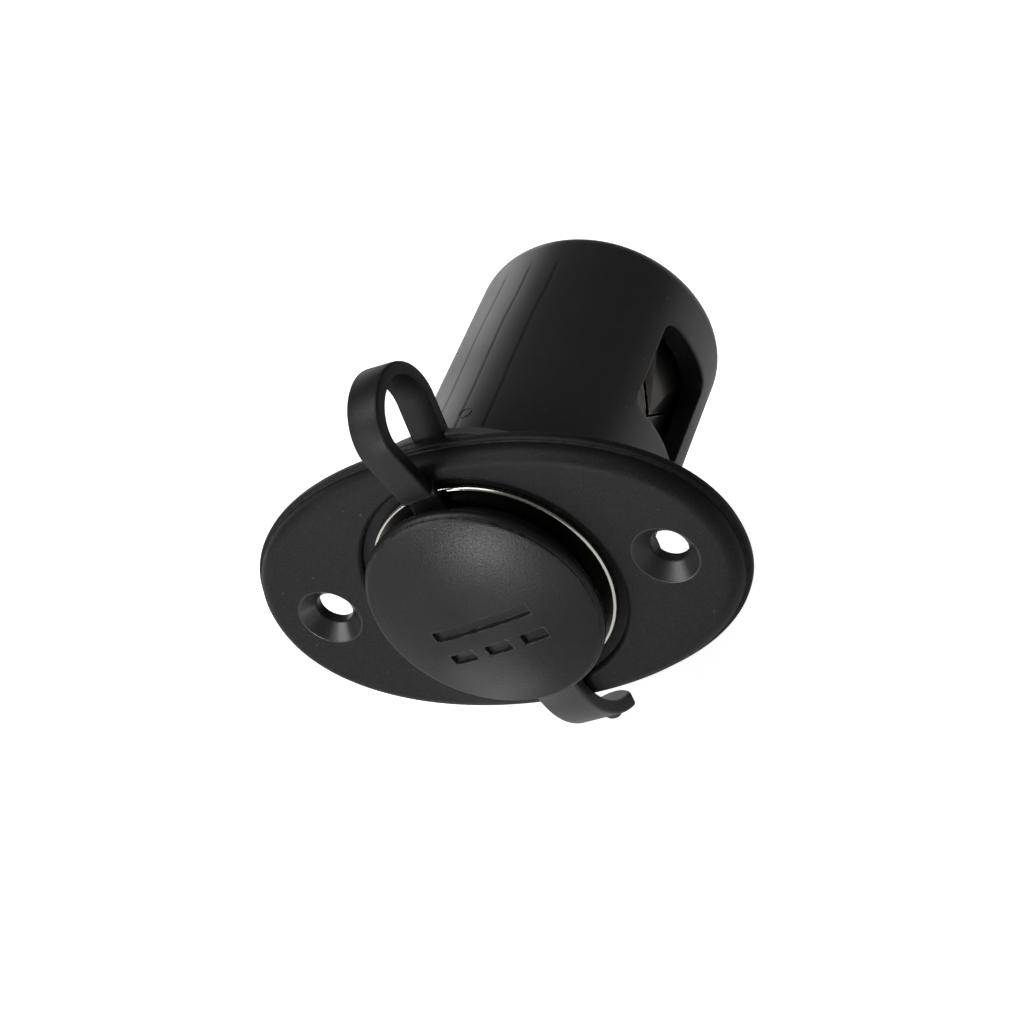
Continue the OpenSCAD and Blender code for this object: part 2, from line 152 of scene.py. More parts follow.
soft_lamp("key_lamp", (-0.1, -0.25, 0.6), 0.5, 1.6)
soft_lamp("front_lamp", (-0.32, -0.5, 0.07), 0.2, 0.8)
soft_lamp("rim_lamp", (-0.33, -0.35, 0.48), 0.4, 2.4)
soft_lamp("low_lamp", (-0.0284, -0.0985, -0.0145), 0.016, 0.033)
soft_lamp("under_lamp", (-0.0115, -0.0145, -0.0205), 0.012, 0.0006)
soft_lamp("rear_lamp", (-0.5, 0.5, 0.1), 0.5, 0.9)

world = bpy.data.worlds.new("white_room")
bpy.context.scene.world = world
world.use_nodes = True
tree = world.node_tree
tree.nodes.clear()
path = node(tree, "ShaderNodeLightPath")
room = node(tree, "ShaderNodeMath", {0: path.outputs["Is Camera Ray"], 1: 1 - ROOM_GLOW, 2: ROOM_GLOW},
            operation="MULTIPLY_ADD")
sky = node(tree, "ShaderNodeBackground", {"Color": (1, 1, 1, 1), "Strength": room.outputs[0]})
node(tree, "ShaderNodeOutputWorld", {"Surface": sky.outputs[0]})

# Housing: the oval screw plate and the round barrel, injection moulded in one piece of black nylon.
# The plate's face is spark-grained and semi-matte, the barrel is polished. Two windows in the
# barrel's sides take the socket shell's snap tabs, and the leads pass through the rear opening.
low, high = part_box("housing")
PLATE_HALF_L = high.x / MM
PLATE_HALF_W = high.z / MM
PLATE_T = -low.y / MM
BARREL_L = high.y / MM
OVAL_POWER = 2.12
OVAL_STEPS = 208
RIM_T = 1.0
RIM_STEP = 0.55
SHOULDER_R = 1.7
RECESS_R = 15.0
RECESS_DEPTH = 1.0
RECESS_EDGE_R = 0.6
HOUSING_BORE_R = 11.7
BARREL_R = 14.5
BARREL_IN_R = 11.8
REAR_WALL = 2.2
REAR_EDGE_R = 3.0
REAR_HOLE_R = 8.5
SCREW_X = 21.25
SCREW_R = 2.1
HEAD_R = 3.7
WINDOW_HALF_W = 4.85
WINDOW_HALF_L = 7.7
WINDOW_MID = -26.6
WINDOW_CORNER_R = 1.75
SOFT_EDGE = 0.22
MARK_X = -0.3
MARK_OUT = -9.7
MARK_R = 0.75
TURN_STEPS = 120
PATCH_STEPS = 12
PATCH_HALF_L = 10.2
PATCH_ROWS = 16
PATCH_RINGS = 4
HEAD_EDGE_R = 0.25
HEAD_SLOPE = 45
# Drag marks on the barrel: angles in radians from its top, widths as shares of their spacing
DRAG_PER_RADIAN = 4.08
DRAG_SHIFT = 0.07
DRAG_WAVE = 0.3
DRAG_FIRST = -0.42
DRAG_LAST = 0.33
DRAG_FADE = 0.06
DRAG_CORE = 0.03
DRAG_EDGE = 0.09
DRAG_DULLS = 0.8
DRAG_DEPTH = 3.0
DRAG_END = 0.038
SLOW_NOISE = 0.03
SPECK_CHANCE = 0.8


def row(x, up, out):
    """A point in millimetres, x to the right, up, and out towards the user, in the row frame."""
    return Vector((x, -out, up)) * MM


def arc(mid_r, mid_out, r, start, stop, steps=6):
    """A fillet in a section: points [distance from the axis, out], angles in degrees."""
    angles = [math.radians(start + (stop - start) * i / steps) for i in range(steps + 1)]
    return [(mid_r + r * math.cos(a), mid_out + r * math.sin(a)) for a in angles]


def add_ring(bm, points):
    """A ring of vertices at points in millimetres."""
    return [bm.verts.new(row(*p)) for p in points]


def bridge(bm, ring_a, ring_b, slot=0):
    """Quads between two closed rings with the same number of points."""
    count = len(ring_a)
    for i in range(count):
        j = (i + 1) % count
        face = bm.faces.new((ring_a[i], ring_a[j], ring_b[j], ring_b[i]))
        face.material_index = slot


def turned(bm, section, centre=(0, 0), angles=None, steps=TURN_STEPS, slot=0):
    """Sweeps a section round an axis that points out at the user, and gives its first and last ring."""
    angles = angles or [2 * math.pi * i / steps for i in range(steps)]
    rings = [add_ring(bm, [(centre[0] + r * math.cos(a), centre[1] + r * math.sin(a), out)
                           for a in angles]) for r, out in section]
    for ring_a, ring_b in zip(rings, rings[1:]):
        bridge(bm, ring_a, ring_b, slot)
    return rings[0], rings[-1]


def fill_flat(bm, rings, slot=0):
    """Fills the flat area between an outline and the holes in it."""
    edges = []
    for ring in rings:
        for i, vertex in enumerate(ring):
            following = ring[(i + 1) % len(ring)]
            edges.append(bm.edges.get((vertex, following)) or bm.edges.new((vertex, following)))
    for face in bmesh.ops.triangle_fill(bm, use_beauty=True, edges=edges)["geom"]:
        if isinstance(face, bmesh.types.BMFace):
            face.material_index = slot


def oval(inset):
    """The plate's outline, set in by a distance."""
    points = []
    for i in range(OVAL_STEPS):
        a = 2 * math.pi * i / OVAL_STEPS
        c, s = math.cos(a), math.sin(a)
        points.append((math.copysign(abs(c) ** (2 / OVAL_POWER), c) * (PLATE_HALF_L - inset),
                       math.copysign(abs(s) ** (2 / OVAL_POWER), s) * (PLATE_HALF_W - inset)))
    return points


def window_point(across, along, grow):
    """Where the ray from a window's middle meets its outline, grown by a distance."""
    size = math.hypot(across, along)
    dx, dy = across / size, along / size
    a, b, c = WINDOW_HALF_W + grow, WINDOW_HALF_L + grow, WINDOW_CORNER_R + grow
    reach = min(a / max(abs(dx), 1e-9), b / max(abs(dy), 1e-9))
    x, y = dx * reach, dy * reach
    if abs(x) > a - c and abs(y) > b - c:
        mid = Vector((math.copysign(a - c, x), math.copysign(b - c, y)))
        ahead = mid.dot(Vector((dx, dy)))
        reach = ahead + math.sqrt(ahead * ahead - mid.length_squared + c * c)
        x, y = dx * reach, dy * reach
    return x, y


def drum(bm, radius, outs, first, last, face_out, slot=0):
    """A cylinder's wall through the given levels, with a window in each side. Gives the windows' rings
    just inside the wall."""
    top, bottom = WINDOW_MID + PATCH_HALF_L, WINDOW_MID - PATCH_HALF_L
    rows = [top + (bottom - top) * j / PATCH_ROWS for j in range(PATCH_ROWS + 1)]
    levels = [first] + [o for o in outs if o > top] + rows + [o for o in outs if o < bottom] + [last]
    start = levels.index(rows[0])
    rings = [add_ring(bm, [(radius * math.cos(2 * math.pi * i / TURN_STEPS),
                            radius * math.sin(2 * math.pi * i / TURN_STEPS), out)
                           for i in range(TURN_STEPS)]) for out in levels]
    half = TURN_STEPS // 2
    for j in range(len(levels) - 1):
        for i in range(TURN_STEPS):
            from_side = min((i + PATCH_STEPS) % TURN_STEPS, (i - half + PATCH_STEPS) % TURN_STEPS)
            if start <= j < start + PATCH_ROWS and from_side < 2 * PATCH_STEPS:
                continue
            k = (i + 1) % TURN_STEPS
            face = bm.faces.new((rings[j][i], rings[j][k], rings[j + 1][k], rings[j + 1][i]))
            face.material_index = slot
    wall_rings = []
    spread = [(s, 0) for s in range(-PATCH_STEPS, PATCH_STEPS)]
    spread += [(PATCH_STEPS, j) for j in range(PATCH_ROWS)]
    spread += [(s, PATCH_ROWS) for s in range(PATCH_STEPS, -PATCH_STEPS, -1)]
    spread += [(-PATCH_STEPS, j) for j in range(PATCH_ROWS, 0, -1)]
    for side in (1, -1):
        border = [rings[start + j][s % TURN_STEPS if side > 0 else (half - s) % TURN_STEPS]
                  for s, j in spread]
        aims = [(BARREL_R * math.radians(360 / TURN_STEPS) * s, rows[j] - WINDOW_MID) for s, j in spread]
        previous = border
        for k in range(PATCH_RINGS):
            share = (k + 1) / PATCH_RINGS
            points = []
            for (s, j), aim in zip(spread, aims):
                across, along = window_point(*aim, SOFT_EDGE)
                edge = math.asin(across / radius)
                a = edge * share + math.radians(360 / TURN_STEPS) * s * (1 - share)
                out = (WINDOW_MID + along) * share + rows[j] * (1 - share)
                points.append((side * radius * math.cos(a), radius * math.sin(a), out))
            ring = add_ring(bm, points)
            bridge(bm, previous, ring, slot)
            previous = ring
        for k in range(1, 5):
            a = math.radians(90 * k / 4)
            grow = SOFT_EDGE * (1 - math.sin(a))
            depth = SOFT_EDGE * (1 - math.cos(a)) * (-1 if face_out else 1)
            points = []
            for aim in aims:
                across, along = window_point(*aim, grow)
                x = math.sqrt(radius * radius - across * across) + depth
                points.append((side * x, across, WINDOW_MID + along))
            ring = add_ring(bm, points)
            bridge(bm, previous, ring, slot)
            previous = ring
        wall_rings.append(previous)
    return wall_rings


def close_mesh(bm, name, materials, sharp=38.0):
    """Merges the rings, turns every face outwards and makes the object, smooth but for sharp edges."""
    bmesh.ops.remove_doubles(bm, verts=bm.verts, dist=2e-6)
    bmesh.ops.recalc_face_normals(bm, faces=bm.faces)
    mesh = bpy.data.meshes.new(name)
    bm.to_mesh(mesh)
    bm.free()
    for material in materials:
        mesh.materials.append(material)
    mesh.polygons.foreach_set("use_smooth", [True] * len(mesh.polygons))
    mesh.set_sharp_from_angle(angle=math.radians(sharp))
    made = bpy.data.objects.new(name, mesh)
    bpy.context.scene.collection.objects.link(made)
    return made


def weigh_normals(made):
    """Keeps large flat faces flat beside their fillets."""
    made.modifiers.new("flat_faces", "WEIGHTED_NORMAL").keep_sharp = True


def group_sockets(tree, inputs, outputs):
    """Names a node group's inputs, with their first values, and its outputs."""
    for name, kind, value in inputs:
        socket = tree.interface.new_socket(name, in_out="INPUT", socket_type=kind)
        socket.default_value = value
    for name, kind in outputs:
        tree.interface.new_socket(name, in_out="OUTPUT", socket_type=kind)


def make_grain_group():
    """Spark-eroded grain: a fine noise gives the height, a slow one gives the mottling."""
    group = bpy.data.node_groups.new("mould_grain", "ShaderNodeTree")
    group_sockets(group, [("Vector", "NodeSocketVector", (0, 0, 0)),
                          ("Grain per metre", "NodeSocketFloat", 5000)],
                  [("Height", "NodeSocketFloat"), ("Mottle", "NodeSocketFloat")])
    given = node(group, "NodeGroupInput")
    fine = node(group, "ShaderNodeTexNoise", {"Vector": given.outputs[0], "Scale": given.outputs[1],
                                             "Detail": 3.0, "Roughness": 0.6})
    slow_scale = node(group, "ShaderNodeMath", {0: given.outputs[1], 1: SLOW_NOISE}, operation="MULTIPLY")
    slow = node(group, "ShaderNodeTexNoise", {"Vector": given.outputs[0], "Scale": slow_scale.outputs[0],
                                              "Detail": 4.0})
    node(group, "NodeGroupOutput", {0: fine.outputs[0], 1: slow.outputs[0]})
    return group


def make_speck_group():
    """Dust and small light scuffs: sparse dots on a cell pattern, gathered in patches."""
    group = bpy.data.node_groups.new("dust_specks", "ShaderNodeTree")
    group_sockets(group, [("Vector", "NodeSocketVector", (0, 0, 0)),
                          ("Specks per metre", "NodeSocketFloat", 900),
                          ("Size", "NodeSocketFloat", 0.12)], [("Mask", "NodeSocketFloat")])
    given = node(group, "NodeGroupInput")
    cells = node(group, "ShaderNodeTexVoronoi", {"Vector": given.outputs[0], "Scale": given.outputs[1],
                                                 "Randomness": 1.0})
    dots = node(group, "ShaderNodeMapRange", {"Value": cells.outputs["Distance"], "From Max": 0.0,
                                              "From Min": given.outputs[2], "To Min": 0.0, "To Max": 1.0})
    chance = node(group, "ShaderNodeSeparateColor", {0: cells.outputs["Color"]})
    few = node(group, "ShaderNodeMath", {0: chance.outputs[0], 1: SPECK_CHANCE}, operation="GREATER_THAN")
    patches = node(group, "ShaderNodeTexNoise", {"Vector": given.outputs[0], "Scale": 90.0, "Detail": 3.0})
    patch = node(group, "ShaderNodeMapRange", {"Value": patches.outputs[0],
                                               "From Min": 0.45, "From Max": 0.7})
    mask = node(group, "ShaderNodeMath", {0: dots.outputs[0], 1: few.outputs[0]}, operation="MULTIPLY")
    mask = node(group, "ShaderNodeMath", {0: mask.outputs[0], 1: patch.outputs[0]}, operation="MULTIPLY")
    node(group, "NodeGroupOutput", {0: mask.outputs[0]})
    return group


def make_edge_group():
    """Edge wear: where the surface turns sharply within a radius, broken up by noise."""
    group = bpy.data.node_groups.new("edge_wear", "ShaderNodeTree")
    group_sockets(group, [("Vector", "NodeSocketVector", (0, 0, 0)), ("Radius", "NodeSocketFloat", 0.0003)],
                  [("Mask", "NodeSocketFloat")])
    given = node(group, "NodeGroupInput")
    rounded = node(group, "ShaderNodeBevel", {"Radius": given.outputs[1]}, samples=4)
    surface = node(group, "ShaderNodeNewGeometry")
    same = node(group, "ShaderNodeVectorMath", {0: rounded.outputs[0], 1: surface.outputs["Normal"]},
                operation="DOT_PRODUCT")
    bend = node(group, "ShaderNodeMapRange", {"Value": same.outputs["Value"],
                                              "From Min": 0.995, "From Max": 0.9})
    noise = node(group, "ShaderNodeTexNoise", {"Vector": given.outputs[0], "Scale": 900.0, "Detail": 4.0})
    broken = node(group, "ShaderNodeMapRange", {"Value": noise.outputs[0],
                                                "From Min": 0.35, "From Max": 0.62})
    mask = node(group, "ShaderNodeMath", {0: bend.outputs[0], 1: broken.outputs[0]}, operation="MULTIPLY")
    node(group, "NodeGroupOutput", {0: mask.outputs[0]})
    return group


grain_group = make_grain_group()
speck_group = make_speck_group()
edge_group = make_edge_group()


def place_group(tree, group, vector, **values):
    """Puts a node group in a material on Object coordinates, with its own values."""
    made = node(tree, "ShaderNodeGroup", node_tree=group)
    tree.links.new(vector, made.inputs["Vector"])
    for name, value in values.items():
        made.inputs[name.replace("_", " ").capitalize()].default_value = value
    return made


def mix_colour(tree, share, first, second):
    """Mixes two colours, or a linked colour and a colour, by a mask."""
    return node(tree, "ShaderNodeMix", {0: share, 6: first, 7: second}, data_type="RGBA",
                clamp_factor=True).outputs[2]


def map_value(tree, value, from_min, from_max, to_min, to_max):
    """Maps a linked value from one range to another, clamped."""
    return node(tree, "ShaderNodeMapRange", {"Value": value, "From Min": from_min, "From Max": from_max,
                                             "To Min": to_min, "To Max": to_max}).outputs[0]


def surface_shader(tree, height, distance, values):
    """Ends a material: a bump from the height, and a Principled BSDF with the given values."""
    relief = node(tree, "ShaderNodeBump", {"Height": height, "Strength": 1.0, "Distance": distance})
    shader = node(tree, "ShaderNodeBsdfPrincipled", values | {"Normal": relief.outputs[0]})
    node(tree, "ShaderNodeOutputMaterial", {"Surface": shader.outputs[0]})


def moulded_plastic(name, dark, light, rough_min, rough_max, gloss, grain, bump, streaks=False):
    """Black moulded nylon: mottled colour, grain in the height, pale specks and worn edges."""
    material, tree = new_material(name)
    place = node(tree, "ShaderNodeTexCoord").outputs["Object"]
    surface = place_group(tree, grain_group, place, grain_per_metre=grain)
    specks = place_group(tree, speck_group, place, specks_per_metre=600.0, size=0.12)
    edges = place_group(tree, edge_group, place, radius=0.00025)
    colour = mix_colour(tree, surface.outputs["Mottle"], dark, light)
    grainy = map_value(tree, surface.outputs["Height"], 0.5, 0.75, 0.0, 0.35)
    colour = mix_colour(tree, grainy, colour, (0.035, 0.035, 0.036, 1))
    colour = mix_colour(tree, edges.outputs[0], colour, (0.045, 0.045, 0.046, 1))
    colour = mix_colour(tree, specks.outputs[0], colour, (0.16, 0.16, 0.16, 1))
    rough = map_value(tree, surface.outputs["Mottle"], 0.3, 0.7, rough_min, rough_max)
    height = surface.outputs["Height"]
    if streaks:
        # Three long drag marks of the mould on the barrel's top, evenly spaced and a little wavy
        sides = node(tree, "ShaderNodeSeparateXYZ", {0: place})
        turn = node(tree, "ShaderNodeMath", {0: sides.outputs[0], 1: sides.outputs[2]}, operation="ARCTAN2")
        wave = node(tree, "ShaderNodeTexNoise", {"Vector": place, "Scale": 60.0, "Detail": 1.0})
        wavy = node(tree, "ShaderNodeMath", {0: wave.outputs[0], 1: DRAG_WAVE, 2: DRAG_SHIFT},
                    operation="MULTIPLY_ADD")
        spaced = node(tree, "ShaderNodeMath", {0: turn.outputs[0], 1: DRAG_PER_RADIAN, 2: wavy.outputs[0]},
                      operation="MULTIPLY_ADD")
        off = node(tree, "ShaderNodeMath", {0: spaced.outputs[0], 1: 0.5}, operation="PINGPONG")
        lines = map_value(tree, off.outputs[0], DRAG_CORE, DRAG_EDGE, 1.0, 0.0)
        for value, start, stop in ((turn.outputs[0], DRAG_FIRST, DRAG_FIRST + DRAG_FADE),
                                   (turn.outputs[0], DRAG_LAST, DRAG_LAST - DRAG_FADE),
                                   (sides.outputs[1], DRAG_END, DRAG_END - 2 * MM)):
            there = map_value(tree, value, start, stop, 0.0, 1.0)
            lines = node(tree, "ShaderNodeMath", {0: lines, 1: there}, operation="MULTIPLY").outputs[0]
        gloss = node(tree, "ShaderNodeMath", {0: lines, 1: -DRAG_DULLS * gloss, 2: gloss},
                     operation="MULTIPLY_ADD").outputs[0]
        height = node(tree, "ShaderNodeMath", {0: lines, 1: -DRAG_DEPTH, 2: height},
                      operation="MULTIPLY_ADD").outputs[0]
    surface_shader(tree, height, bump,
                   {"Base Color": colour, "Roughness": rough, "Specular IOR Level": gloss})
    return material


plate_plastic = moulded_plastic("grained_plate_plastic", (0.004, 0.004, 0.0044, 1), (0.009, 0.009, 0.0094, 1),
                                0.40, 0.52, 0.14, 5200.0, 0.00005)
barrel_plastic = moulded_plastic("polished_barrel_plastic", (0.010, 0.010, 0.011, 1),
                                 (0.018, 0.018, 0.019, 1), 0.26, 0.38, 0.42, 2600.0, 0.000003, streaks=True)


def make_housing():
    """Plate, barrel, rear end and ejector mark; slot 0 is the plate's plastic, slot 1 the barrel's."""
    bm = bmesh.new()
    face_inset = RIM_STEP + SHOULDER_R
    # Outer edge of the plate, from its back to the flat face
    profile = [(0.3, 0), (0.09, 0.03), (0, 0.2), (0, RIM_T - 0.3), (0.05, RIM_T - 0.12), (0.18, RIM_T - 0.02),
               (0.3, RIM_T), (RIM_STEP - 0.08, RIM_T), (RIM_STEP, RIM_T + 0.1)]
    profile += [(face_inset - r, out)
                for r, out in arc(0, PLATE_T - SHOULDER_R, SHOULDER_R, 0, 90, 14)]
    rings = [add_ring(bm, [(x, up, out) for x, up in oval(inset)]) for inset, out in profile]
    for ring_a, ring_b in zip(rings, rings[1:]):
        bridge(bm, ring_a, ring_b)
    # Recess for the contact ring, and the way down into the barrel
    floor_out = PLATE_T - RECESS_DEPTH
    section = arc(RECESS_R + RECESS_EDGE_R, PLATE_T - RECESS_EDGE_R, RECESS_EDGE_R, 90, 180, 8)
    section += arc(RECESS_R - 0.15, floor_out + 0.15, 0.15, 0, -90, 3)
    section += arc(HOUSING_BORE_R + SOFT_EDGE, floor_out - SOFT_EDGE, SOFT_EDGE, 90, 180, 4)
    section += [(HOUSING_BORE_R, 0), (BARREL_IN_R, 0)]
    recess_ring, _ = turned(bm, section)
    # Screw holes, countersunk with softened edges
    head_rings, back_rings = [], []
    for side in (-1, 1):
        section = arc(HEAD_R + HEAD_EDGE_R * math.tan(math.radians(HEAD_SLOPE / 2)), PLATE_T - HEAD_EDGE_R,
                      HEAD_EDGE_R, 90, 90 + HEAD_SLOPE, 4)
        section += [(SCREW_R + 0.12, PLATE_T - (HEAD_R - SCREW_R) + 0.12),
                    (SCREW_R, PLATE_T - (HEAD_R - SCREW_R) - 0.1), (SCREW_R, 0.2), (SCREW_R + 0.2, 0)]
        head, back = turned(bm, section, (side * SCREW_X, 0), steps=72, slot=1)
        head_rings.append(head)
        back_rings.append(back)
    fill_flat(bm, [rings[-1], recess_ring] + head_rings)
    # Barrel: outer and inner walls with their windows, and the rounded rear end
    root = arc(BARREL_R + 0.4, -0.4, 0.4, 90, 180, 4)
    root_ring, _ = turned(bm, root, slot=1)
    fill_flat(bm, [rings[0], root_ring] + back_rings)
    rear_start = REAR_EDGE_R - BARREL_L
    outer_windows = drum(bm, BARREL_R, [-4, -8, -12, -38.5], -0.4, rear_start, True, 1)
    inner_windows = drum(bm, BARREL_IN_R, [-6, -12, -39], 0, REAR_WALL - BARREL_L, False, 1)
    for ring_a, ring_b in zip(outer_windows, inner_windows):
        bridge(bm, ring_a, ring_b, 1)
    section = arc(BARREL_R - REAR_EDGE_R, rear_start, REAR_EDGE_R, 0, -90, 16)
    section += arc(REAR_HOLE_R + 0.3, -BARREL_L + 0.3, 0.3, -90, -180, 4)
    section += [(REAR_HOLE_R, REAR_WALL - BARREL_L - 0.2), (REAR_HOLE_R + 0.2, REAR_WALL - BARREL_L),
                (BARREL_IN_R, REAR_WALL - BARREL_L)]
    turned(bm, section, slot=1)
    # The ejector pin's faint round mark on top of the barrel
    mark = []
    for k in range(40):
        a = 2 * math.pi * k / 40
        x, out = MARK_X + MARK_R * math.cos(a), MARK_OUT + MARK_R * math.sin(a)
        mark.append([(x * share, math.sqrt(BARREL_R ** 2 - x * x) + rise, MARK_OUT + (out - MARK_OUT) * share)
                     for share, rise in ((0.86, -0.05), (0.95, 0.07), (1.05, 0.07), (1.14, -0.05))])
    rings = [add_ring(bm, [points[k] for points in mark]) for k in range(4)]
    for ring_a, ring_b in zip(rings, rings[1:] + rings[:1]):
        bridge(bm, ring_a, ring_b, 1)
    return close_mesh(bm, "moulded_housing", [plate_plastic, barrel_plastic])


housing = make_housing()
weigh_normals(housing)
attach(housing, "housing")
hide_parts("housing")

# Socket shell: a cup drawn from nickel-plated steel sheet, whose flat rim is the bright ring round
# the cap. Two tongues lanced from its wall spring out into the barrel's windows and hold it there.
low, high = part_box("socket_shell")
RING_R = 13.82
BORE_R = 10.7
SHEET_T = 0.8
SHELL_R = BORE_R + SHEET_T
RING_OUT = PLATE_T - RECESS_DEPTH + SHEET_T
SHELL_END = -high.y / MM
TAB_W = 6.0
TAB_L = 9.6
TAB_POINT = 4.3
TAB_ROOT_OUT = -33.1
TAB_SPRING = 0.3
TAB_FOLD = 0.3
TAB_SLOT = 0.3
SLOT_REACH = (8.5, 14.0)
TAB_EDGE = 0.07
RING_BEND_R = 0.7
BOTTOM_IN_R = 1.0
BOTTOM_R = 1.4
SHELL_HOLE_R = 3.1


def plated_metal(name, colour, dark, rough_min, rough_max):
    """Bright plating: fine turned lines and clouded patches in the gloss, and small dark pits."""
    material, tree = new_material(name)
    place = node(tree, "ShaderNodeTexCoord").outputs["Object"]
    clouds = place_group(tree, grain_group, place, grain_per_metre=3000.0)
    pits = place_group(tree, speck_group, place, specks_per_metre=1500.0, size=0.2)
    stretched = node(tree, "ShaderNodeMapping", {"Vector": place, "Scale": (0.05, 1.0, 0.05)})
    lines = node(tree, "ShaderNodeTexNoise", {"Vector": stretched.outputs[0], "Scale": 4000.0, "Detail": 2.0})
    shade = mix_colour(tree, clouds.outputs["Mottle"], colour, dark)
    shade = mix_colour(tree, pits.outputs[0], shade, (0.1, 0.08, 0.06, 1))
    edges = place_group(tree, edge_group, place, radius=0.00012)
    shade = mix_colour(tree, edges.outputs[0], shade, (0.85, 0.84, 0.81, 1))
    rough = map_value(tree, clouds.outputs["Mottle"], 0.3, 0.7, rough_min, rough_max)
    surface_shader(tree, lines.outputs[0], 0.000002,
                   {"Base Color": shade, "Metallic": 1.0, "Roughness": rough})
    return material


nickel = plated_metal("bright_nickel", (0.72, 0.70, 0.66, 1), (0.55, 0.52, 0.47, 1), 0.10, 0.22)
# A darkened copy of the bright nickel: painted shade for the dark reflections on the ring's flat face, the
# shell's outer wall and the tongues' faces.
nickel_painted_shade = plated_metal("nickel_painted_shade", (0.10, 0.095, 0.09, 1), (0.05, 0.045, 0.04, 1), 0.22, 0.36)


def make_shell():
    """The drawn cup with its flat ring: bright inside and on the ring's edges; the rest takes the darkened
    nickel, painted shade.
    """
    bm = bmesh.new()
    seat = PLATE_T - RECESS_DEPTH
    section = [(RING_R - SHEET_T / 2, seat)]
    section += arc(RING_R - SHEET_T / 2, seat + SHEET_T / 2, SHEET_T / 2, -60, 90, 8)
    section += arc(BORE_R + RING_BEND_R, RING_OUT - RING_BEND_R, RING_BEND_R, 90, 180, 6)
    section += arc(BORE_R - BOTTOM_IN_R, SHELL_END + SHEET_T + BOTTOM_IN_R, BOTTOM_IN_R, 0, -90, 6)
    section += [(SHELL_HOLE_R, SHELL_END + SHEET_T), (SHELL_HOLE_R, SHELL_END)]
    section += arc(SHELL_R - BOTTOM_R, SHELL_END + BOTTOM_R, BOTTOM_R, -90, 0, 6)
    section += [(SHELL_R, seat), (RING_R - SHEET_T / 2, seat)]
    turned(bm, section)
    for face in bm.faces:
        middle = face.calc_center_median()
        reach = math.hypot(middle.x, middle.z) / MM
        outside = reach > SHELL_R - 0.05 and middle.y > -seat * MM
        face.material_index = int(outside or BORE_R + RING_BEND_R < reach < RING_R - SHEET_T / 2)
    return close_mesh(bm, "drawn_shell", [nickel, nickel_painted_shade])


def tongue_outline(grow):
    """A pointed tongue's outline: across it, and out from its root."""
    half_w = TAB_W / 2 + grow
    shoulder = TAB_L - TAB_POINT + grow / 2
    return [(-half_w, 0), (half_w, 0), (half_w, shoulder), (0, TAB_L + grow * 1.5), (-half_w, shoulder)]


def cut_slots(solid):
    """Cuts the slots round both tongues through the shell's wall."""
    bm = bmesh.new()
    for side in (1, -1):
        rings = [add_ring(bm, [(side * x, across, TAB_ROOT_OUT + along)
                               for across, along in tongue_outline(TAB_SLOT)]) for x in SLOT_REACH]
        bridge(bm, *rings)
        for ring in rings:
            bm.faces.new(ring)
    cutter = close_mesh(bm, "slot_cutter", [])
    cut = solid.modifiers.new("slots", "BOOLEAN")
    cut.object = cutter
    solid.data = bpy.data.meshes.new_from_object(solid.evaluated_get(bpy.context.evaluated_depsgraph_get()))
    solid.modifiers.remove(cut)
    solid.data.set_sharp_from_angle(angle=math.radians(38))
    bpy.data.objects.remove(cutter)


def make_snap_tabs():
    """Both tongues: flat blanks whose outer corners are folded back a little, with softened edges."""
    bm = bmesh.new()
    for side in (1, -1):
        sheets = []
        for depth in (0, SHEET_T):
            points = []
            for (across, along), fold in zip(tongue_outline(0), (0, 0, TAB_FOLD, 0, TAB_FOLD)):
                x = SHELL_R + TAB_SPRING * along / TAB_L - fold - depth
                points.append((side * x, across, TAB_ROOT_OUT + (along or -0.4)))
            sheets.append(add_ring(bm, points))
        for a, b, c, d, e in sheets:
            bm.faces.new((a, b, d))
            bm.faces.new((b, c, d))
            bm.faces.new((a, d, e))
        bridge(bm, *sheets, 1)
    bmesh.ops.recalc_face_normals(bm, faces=bm.faces)
    bmesh.ops.bevel(bm, geom=bm.edges[:], offset=TAB_EDGE * MM, segments=2, affect="EDGES", profile=0.5)
    # The tongues' faces take the darkened nickel, painted shade; their cut edges stay bright nickel.
    return close_mesh(bm, "snap_tabs", [nickel_painted_shade, nickel])


shell = make_shell()
cut_slots(shell)
weigh_normals(shell)
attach(shell, "housing")
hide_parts("socket_shell")
tabs = make_snap_tabs()
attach(tabs, "housing")

# Contacts: the centre contact, its insulating washers, two blade terminals and the earth rivet,
# stacked through the shell's bottom. They are plain stampings and keep their own solids.
brass = plated_metal("tumbled_brass", (0.62, 0.45, 0.20, 1), (0.45, 0.31, 0.13, 1), 0.22, 0.38)


def fibre_board():
    """Pressed phenolic board: brown, with paper fibres and a dull skin."""
    material, tree = new_material("fibre_board")
    place = node(tree, "ShaderNodeTexCoord").outputs["Object"]
    grain = place_group(tree, grain_group, place, grain_per_metre=3500.0)
    colour = mix_colour(tree, grain.outputs["Height"], (0.10, 0.04, 0.018, 1), (0.26, 0.12, 0.05, 1))
    rough = map_value(tree, grain.outputs["Mottle"], 0.3, 0.7, 0.45, 0.65)
    surface_shader(tree, grain.outputs["Height"], 0.00001, {"Base Color": colour, "Roughness": rough})
    return material


board = fibre_board()
finishes = {"inner_insulator": board, "outer_insulator": board, "contact_button": brass,
            "contact_washer": nickel, "positive_terminal": brass, "negative_terminal": nickel,
            "negative_rivet": nickel}
for name, material in finishes.items():
    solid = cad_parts[name]
    solid.data.materials.clear()
    solid.data.materials.append(material)

